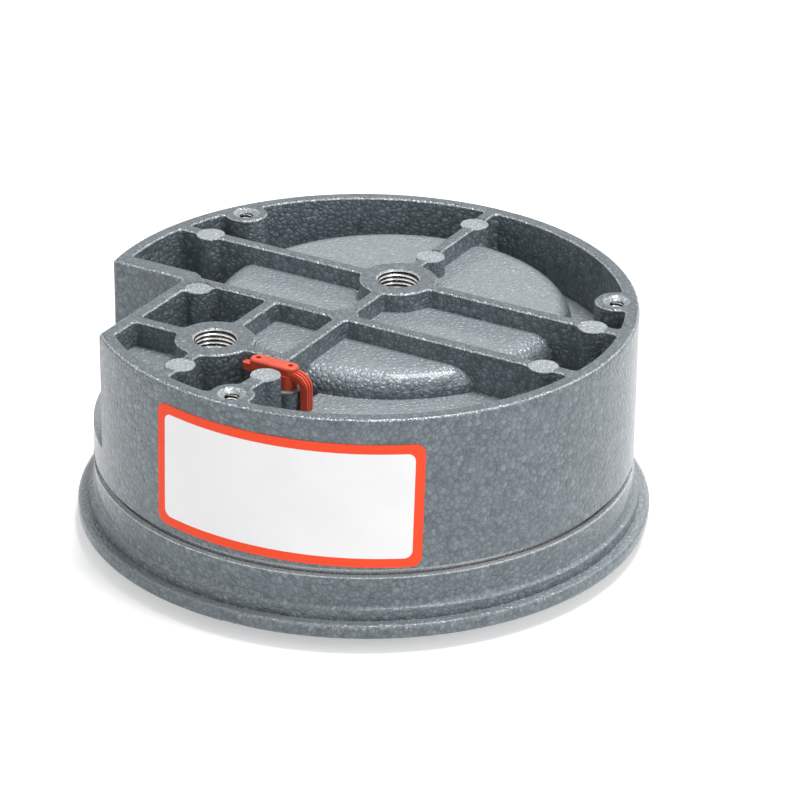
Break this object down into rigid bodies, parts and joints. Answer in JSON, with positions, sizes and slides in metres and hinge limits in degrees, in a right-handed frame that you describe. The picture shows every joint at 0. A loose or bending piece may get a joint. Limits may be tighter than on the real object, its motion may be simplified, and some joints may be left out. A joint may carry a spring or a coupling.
{
  "type": "differential pressure gauge",
  "caption": "Round dial gauge for differential pressure with a ribbed cast case, flanged bezel, clear window and rear and side ports.",
  "frame": {"origin": "centre of the bezel's front face, which the gauge rests on", "axes": "+Z from the dial side to the open cast back, +Y to the top of the dial, the dial faces -Z"},
  "size_m": [0.1218, 0.1218, 0.05],
  "materials": {
    "hammertone_paint": "blue grey hammertone paint",
    "bezel_paint": "blue grey hammertone paint",
    "clear_window": "clear acrylic",
    "dial_white": "satin white",
    "red_rubber": "moulded, satin",
    "black_rubber": "matte",
    "diaphragm_rubber": "matte",
    "aluminium": "machined",
    "steel": "plated",
    "spring_steel": "rolled",
    "magnet_grey": "sintered",
    "brass": "turned",
    "pointer_paint": "satin black",
    "jewel": "polished",
    "plug_metal": "turned"
  },
  "bodies": {
    "gauge": {"case": "hammertone_paint", "bezel": "bezel_paint", "cover": "clear_window", "cover_gasket": "black_rubber", "dial": "dial_white", "dial_screws": "steel", "pointer_stops": "black_rubber", "relief_plug": "red_rubber", "diaphragm": "diaphragm_rubber", "diaphragm_ring": "steel", "ring_screws": "steel", "range_spring": "spring_steel", "spring_clamp": "aluminium", "clamp_screws": "steel", "wishbone_pivot": "steel", "zero_seal": "black_rubber", "high_side_plug": "plug_metal", "low_side_plug": "plug_metal"},
    "plates": {"rear_plate": "aluminium", "front_plate": "aluminium", "link_stud": "steel"},
    "magnet_block": {"magnet": "magnet_grey"},
    "wishbone_arm": {"wishbone": "brass", "jewel_bearings": "jewel"},
    "pointer_unit": {"helix": "steel", "pointer_shaft": "steel", "pointer": "pointer_paint"},
    "zero_adjuster": {"zero_screw": "brass"}
  },
  "joints": [
    {"name": "diaphragm_travel", "type": "slide", "parent": "gauge", "child": "plates", "axis": [0, 0, -1], "range_m": [0, 0.002], "stiffness_N_per_m": 1500, "deforming": ["diaphragm", "range_spring"]},
    {"name": "magnet_travel", "type": "slide", "parent": "gauge", "child": "magnet_block", "axis": [0, 0, -1], "range_m": [0, 0.0036]},
    {"name": "zero_screw_turn", "type": "hinge", "parent": "gauge", "child": "zero_adjuster", "pos_m": [0, -0.0425, 0], "axis": [0, 0, 1], "range_deg": [-62, 62]},
    {"name": "wishbone_swing", "type": "hinge", "parent": "gauge", "child": "wishbone_arm", "pos_m": [0, -0.034, 0], "axis": [0, 0, 1], "range_deg": [-2.75, 2.75]},
    {"name": "pointer_turn", "type": "hinge", "parent": "wishbone_arm", "child": "pointer_unit", "pos_m": [0, -0.018, 0], "axis": [0, 0, 1], "range_deg": [0, 80]}
  ],
  "couplings": [
    {"joint": "magnet_travel", "follows": "diaphragm_travel", "ratio": 1.78},
    {"joint": "pointer_turn", "follows": "diaphragm_travel", "rad_per_m": 698},
    {"joint": "zero_screw_turn", "follows": "wishbone_swing", "ratio": 21.766}
  ]
}
